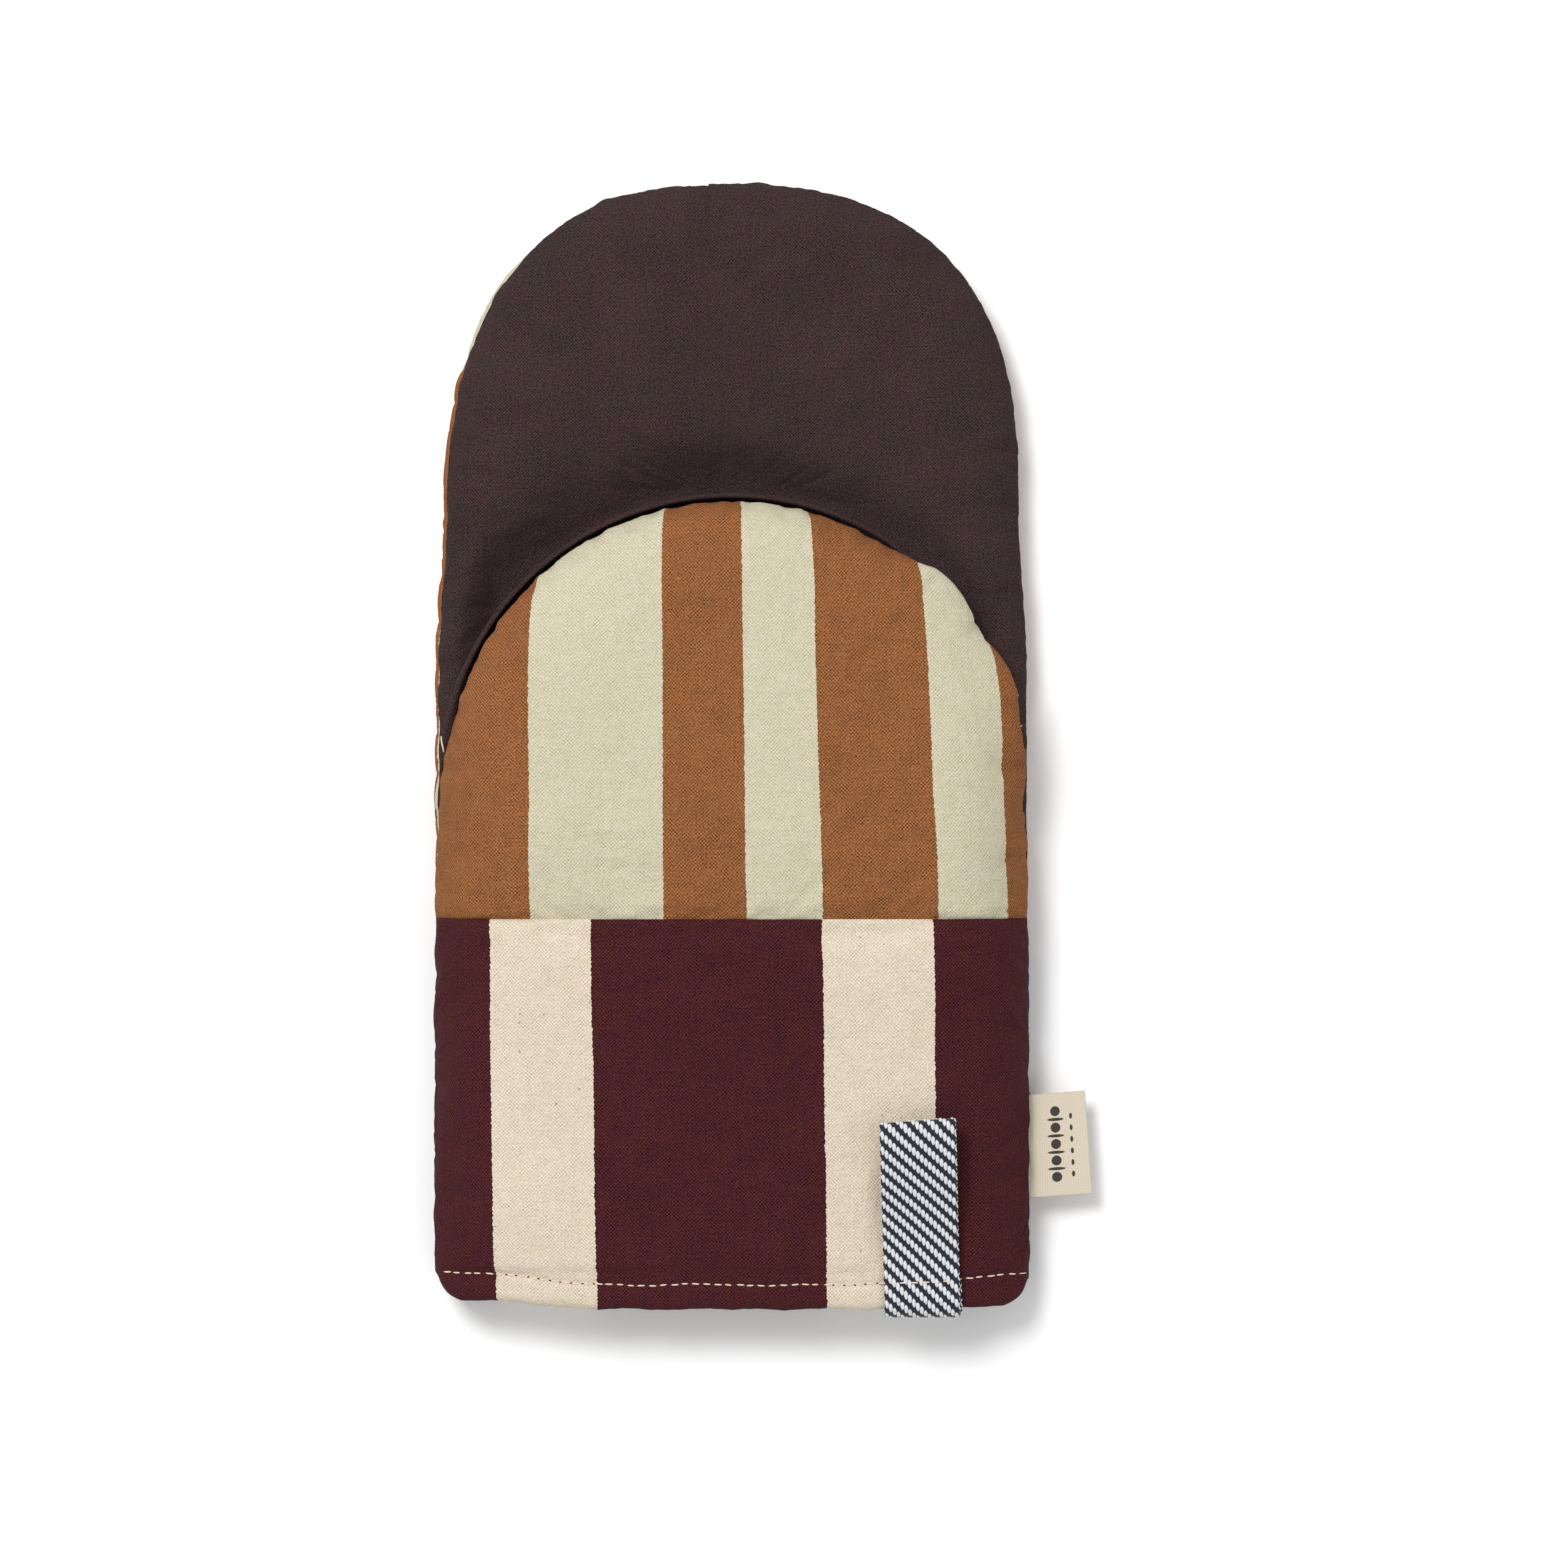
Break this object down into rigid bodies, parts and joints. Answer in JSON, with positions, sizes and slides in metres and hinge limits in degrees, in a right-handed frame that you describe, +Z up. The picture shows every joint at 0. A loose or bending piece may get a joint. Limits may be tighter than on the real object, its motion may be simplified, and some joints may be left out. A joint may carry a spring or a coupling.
{
  "type": "oven mitt",
  "caption": "Quilted puppet-style oven mitt: a wide cuff opening into a finger pocket and a half-round thumb flap that opens at the crook, with a hanging tape and a side label.",
  "frame": {"origin": "centre of the back's resting face, midway between hem and finger tip on the centre line", "axes": "+Y along the mitt from the hem to the finger tip, +X across it towards the hanging tape and label, +Z up from the back to the thumb side"},
  "size_m": [0.1743, 0.3029, 0.0398],
  "materials": {
    "striped_canvas": "matte",
    "cuff_canvas": "matte",
    "palm_cloth": "matte",
    "wadding": "matte",
    "lining_cloth": "matte",
    "tape_webbing": "matte",
    "label_twill": "matte",
    "sewing_thread": "matte"
  },
  "bodies": {
    "mitt": {"back_upper_shell": "striped_canvas", "back_cuff_shell": "cuff_canvas", "cuff_front_shell": "cuff_canvas", "finger_palm_shell": "palm_cloth", "back_batting": "wadding", "cuff_front_batting": "wadding", "finger_palm_batting": "wadding", "back_lining": "lining_cloth", "cuff_front_lining": "lining_cloth", "finger_palm_lining": "lining_cloth", "hang_loop_tail": "tape_webbing", "hem_topstitch": "sewing_thread"},
    "thumb": {"thumb_front_shell": "striped_canvas", "thumb_front_batting": "wadding", "thumb_front_lining": "lining_cloth", "thumb_palm_shell": "palm_cloth", "thumb_palm_batting": "wadding", "thumb_palm_lining": "lining_cloth"},
    "hang_loop": {"hang_loop": "tape_webbing"},
    "side_label": {"side_label": "label_twill"}
  },
  "joints": [
    {"name": "thumb_open", "type": "hinge", "parent": "mitt", "child": "thumb", "pos_m": [0, -0.022, 0.0209], "axis": [1, 0, 0], "range_deg": [0, 60], "deforming": ["thumb_front_shell"]},
    {"name": "loop_swing", "type": "hinge", "parent": "mitt", "child": "hang_loop", "pos_m": [0.0495, -0.14197, 0.03066], "axis": [1, 0, 0], "range_deg": [0, 165]},
    {"name": "label_flex", "type": "hinge", "parent": "mitt", "child": "side_label", "pos_m": [0.07935, -0.1065, 0.01], "axis": [0, -1, 0], "range_deg": [-30, 75], "stiffness_Nm_per_rad": 0.0006}
  ]
}
